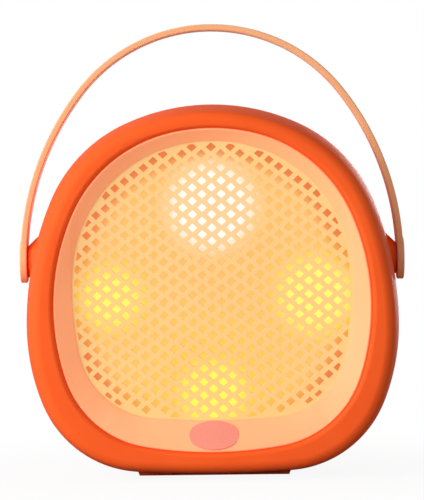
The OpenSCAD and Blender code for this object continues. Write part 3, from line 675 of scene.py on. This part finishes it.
bpy.ops.object.select_all(action="DESELECT")
bpy.ops.mesh.primitive_plane_add(size=1, location=(strap_half - STRAP_THICK / 2, 0, pivot))
arch = bpy.context.active_object
arch.name = "handle_strap_skin"
arch.scale = (STRAP_THICK, STRAP_WIDE, 1)
bpy.ops.object.transform_apply(location=True, rotation=True, scale=True)
bpy.ops.object.mode_set(mode="EDIT")
bpy.ops.mesh.select_all(action="SELECT")
bpy.ops.mesh.bevel(offset=STRAP_ROUND, segments=ROUND_STEPS, affect="VERTICES")
bpy.ops.mesh.select_all(action="SELECT")
for across, up, angle, steps in ARCH_ARCS:
    bpy.ops.mesh.spin(steps=steps, angle=angle, center=(across, 0, up), axis=(0, 1, 0))
bpy.ops.mesh.select_all(action="SELECT")
bpy.ops.mesh.remove_doubles(threshold=WELD)
bpy.ops.mesh.normals_make_consistent(inside=False)
bpy.ops.object.mode_set(mode="OBJECT")
for side in (-1, 1):
    pad = side_disc(side, strap_corner.x, PAD_THICK, strap_corner.y)
    bpy.ops.object.mode_set(mode="EDIT")
    bpy.ops.mesh.select_mode(type="EDGE")
    bpy.ops.mesh.select_all(action="DESELECT")
    bpy.ops.mesh.edges_select_sharp(sharpness=PAD_CREASE)
    bpy.ops.mesh.bevel(offset=STRAP_ROUND, segments=ROUND_STEPS, affect="EDGES")
    bpy.ops.object.mode_set(mode="OBJECT")
    combined(arch, pad, "UNION")
    recess = side_disc(side, strap_corner.x + PAD_PROUD, PIN_HEAD_THICK + PAD_PROUD, pins_high.y)
    combined(arch, recess, "DIFFERENCE")
only(arch)
bpy.ops.object.shade_smooth_by_angle(angle=SOFT_CREASE)
weigh_normals(arch)
strap = skinned("strap_rubber", linear(249, 179, 130), linear(246, 174, 124), 0.6,
                depth=STRAP_GRAIN, specular=0.1)
strap_shader = strap.node_tree.nodes["Principled BSDF"]
strap_shader.inputs["Sheen Weight"].default_value = 0.35
strap_shader.inputs["Sheen Roughness"].default_value = 0.4
strap_shader.inputs["Sheen Tint"].default_value = linear(255, 226, 212)
kept(arch, "handle", strap, "strap_rubber", "handle_strap")
dressed("pivot_pins", "handle", steel, "steel")
painted(steel, "pivot_clips")

# Foot: a low rubber pad under the housing, cut to the housing's curve.
# It is a deeper orange and matt.

foot_rubber = skinned("foot_rubber", linear(214, 76, 36), linear(207, 72, 33), 0.8, specular=0.05)
dressed("foot", "housing", foot_rubber, "foot_rubber")

# Studio: a pale floor that fades to white, soft light from the front left and the left, a lamp
# behind, and a long lens a little above the middle of the object.

CAMERA_DISTANCE = 1.2
CAMERA_RISE = math.radians(2.0)
CAMERA_ROLL = math.radians(0.65)
CAMERA_SENSOR = 36
TARGET = Vector((0.0, 0.0, 0.0899))
PICTURE_ROWS, ROW_HEIGHT = 500, 0.0004029
offset = Vector((0.0, -math.cos(CAMERA_RISE), math.sin(CAMERA_RISE)))
bpy.ops.object.camera_add(location=TARGET + CAMERA_DISTANCE * offset)
camera = bpy.context.active_object
across = Vector((1, 0, 0))
upward = across.cross(-offset)
tilt_across = across * math.cos(CAMERA_ROLL) - upward * math.sin(CAMERA_ROLL)
tilt_upward = upward * math.cos(CAMERA_ROLL) + across * math.sin(CAMERA_ROLL)
camera.rotation_euler = Matrix((tilt_across, tilt_upward, offset)).transposed().to_euler()
camera.data.sensor_fit = "VERTICAL"
camera.data.sensor_height = CAMERA_SENSOR
camera.data.lens = CAMERA_SENSOR * CAMERA_DISTANCE / (PICTURE_ROWS * ROW_HEIGHT)
camera.data.clip_start = 0.05
bpy.context.scene.camera = camera

FLOOR_SIZE, FLOOR_GAP = 6, 0.0001
FLOOR_SEEN, FLOOR_BOUNCE = (0.95, 0.95, 0.95, 1), (0.35, 0.35, 0.35, 1)
FADE_STARTS, FADE_ENDS, FADE_LEAST = 0.05, 0.20, 0.92
bpy.ops.mesh.primitive_plane_add(size=FLOOR_SIZE, location=(0, 0, -FLOOR_GAP))
floor = bpy.context.active_object
floor.name = "floor"
floor_material = bpy.data.materials.new("floor_white")
floor_material.use_nodes = True
tree = floor_material.node_tree
matt = tree.nodes["Principled BSDF"]
matt.inputs["Roughness"].default_value = 0.9
matt.inputs["Specular IOR Level"].default_value = 0.0
ray = add_node(tree, "LightPath")
tree.links.new(mix_colours(tree, ray.outputs["Is Camera Ray"], FLOOR_BOUNCE, FLOOR_SEEN),
               matt.inputs["Base Color"])
place = add_node(tree, "TexCoord")
reach = add_node(tree, "VectorMath", [(0, place.outputs["Object"])], operation="LENGTH")
fade = add_node(tree, "MapRange", [("Value", reach.outputs["Value"]), ("From Min", FADE_STARTS),
                ("From Max", FADE_ENDS), ("To Min", FADE_LEAST)],
                interpolation_type="SMOOTHSTEP")
seen = add_node(tree, "Math", [(0, fade.outputs["Result"]), (1, ray.outputs["Is Camera Ray"])],
                operation="MULTIPLY")
bright = add_node(tree, "Emission", [("Strength", 1.0)])
mixed = add_node(tree, "MixShader", [(0, seen.outputs["Value"]), (1, matt.outputs["BSDF"]),
                 (2, bright.outputs["Emission"])])
facing = add_node(tree, "NewGeometry")
clear = add_node(tree, "BsdfTransparent")
one_way = add_node(tree, "MixShader", [(0, facing.outputs["Backfacing"]),
                   (1, mixed.outputs["Shader"]), (2, clear.outputs["BSDF"])])
tree.links.new(one_way.outputs["Shader"], tree.nodes["Material Output"].inputs["Surface"])
floor.data.materials.append(floor_material)

HORIZON_LIGHT, OVERHEAD_LIGHT = 0.62, 0.2
world = bpy.data.worlds.new("studio")
bpy.context.scene.world = world
world.use_nodes = True
tree = world.node_tree
ray = add_node(tree, "LightPath")
shown = add_node(tree, "Math", [(0, ray.outputs["Is Camera Ray"]),
                 (1, ray.outputs["Is Glossy Ray"])], operation="MAXIMUM")
shown = add_node(tree, "Math", [(0, shown.outputs["Value"]),
                 (1, ray.outputs["Is Transmission Ray"])], operation="MAXIMUM")
aim = add_node(tree, "TexCoord")
height = add_node(tree, "SeparateXYZ", [(0, aim.outputs["Generated"])])
dome = add_node(tree, "MapRange", [("Value", height.outputs["Z"]), ("To Min", HORIZON_LIGHT),
                ("To Max", OVERHEAD_LIGHT)])
level = add_node(tree, "MapRange", [("Value", shown.outputs["Value"]),
                 ("To Min", dome.outputs["Result"]), ("To Max", 1.0)])
tree.links.new(level.outputs["Result"], tree.nodes["Background"].inputs["Strength"])
tree.nodes["Background"].inputs["Color"].default_value = (1, 1, 1, 1)


def soft_lamp(name, place, power, size):
    """A square area lamp that points at the object."""
    bpy.ops.object.light_add(type="AREA", location=place)
    lamp = bpy.context.active_object
    lamp.name = name
    lamp.data.energy = power
    lamp.data.size = size
    lamp.rotation_euler = (TARGET - Vector(place)).to_track_quat("-Z", "Y").to_euler()


soft_lamp("key_lamp", (-0.45, -0.75, 0.24), power=4.1, size=0.6)
soft_lamp("side_lamp", (-1.3, -0.55, 0.5), power=13.0, size=0.5)
soft_lamp("rear_lamp", (0.35, 1.4, 0.16), power=7.0, size=0.3)

bpy.context.scene.view_settings.view_transform = "Standard"
